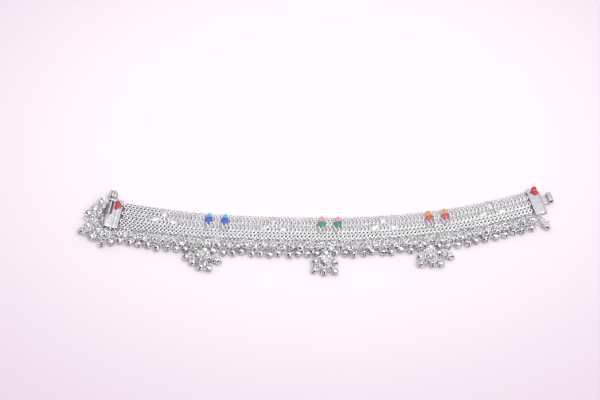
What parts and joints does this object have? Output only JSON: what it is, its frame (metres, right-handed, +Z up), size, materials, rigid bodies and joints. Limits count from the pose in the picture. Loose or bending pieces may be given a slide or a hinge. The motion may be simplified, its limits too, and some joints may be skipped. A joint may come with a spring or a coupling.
{
  "type": "ankle chain",
  "caption": "Open woven silver anklet with a screw clasp, enamel flowers and hearts, and a fringe of small round bells on jump rings with hanging clusters.",
  "frame": {"origin": "middle of the box's underside, on the surface that the anklet lies on", "axes": "+X from the screw clasp's end to the tongue's end, +Y towards the band's back edge, +Z up from the face"},
  "size_m": [0.279, 0.0588, 0.0057],
  "materials": {
    "woven_silver": "polished silver links, softly tarnished in the recesses",
    "plate_silver": "smooth polished silver sheet with fine scratches",
    "screw_silver": "turned and polished silver",
    "bell_silver": "bright polished silver beads and wire",
    "enamel_red": "glossy fired enamel fill",
    "enamel_sky": "glossy fired enamel fill",
    "enamel_blue": "glossy fired enamel fill",
    "enamel_pink": "glossy fired enamel fill",
    "enamel_green": "glossy fired enamel fill",
    "enamel_yellow": "glossy fired enamel fill",
    "enamel_rose": "glossy fired enamel fill"
  },
  "bodies": {
    "anklet": {"woven_band": "woven_silver", "screw_plate": "plate_silver", "tongue_plate": "plate_silver", "heart_head": "enamel_red", "heart_tail": "enamel_red", "flower_1a_cap": "enamel_sky", "flower_1a_petals": "enamel_blue", "flower_1b_cap": "enamel_sky", "flower_1b_petals": "enamel_blue", "flower_2a_cap": "enamel_pink", "flower_2a_petals": "enamel_green", "flower_2b_cap": "enamel_pink", "flower_2b_petals": "enamel_green", "flower_3a_cap": "enamel_yellow", "flower_3a_petals": "enamel_rose", "flower_3b_cap": "enamel_yellow", "flower_3b_petals": "enamel_rose", "fringe_1": "bell_silver", "fringe_2": "bell_silver", "fringe_3": "bell_silver", "fringe_4": "bell_silver", "fringe_5": "bell_silver", "fringe_6": "bell_silver", "fringe_7": "bell_silver", "fringe_8": "bell_silver", "fringe_9": "bell_silver", "cluster_1": "bell_silver", "cluster_2": "bell_silver", "cluster_3": "bell_silver", "bunch_head": "bell_silver", "bunch_tail": "bell_silver"},
    "screw": {"screw_pin": "screw_silver"}
  },
  "joints": [
    {"name": "screw_slide", "type": "slide", "parent": "anklet", "child": "screw", "axis": [0.2079, 0.9781, 0], "range_m": [0, 0.0144]}
  ]
}
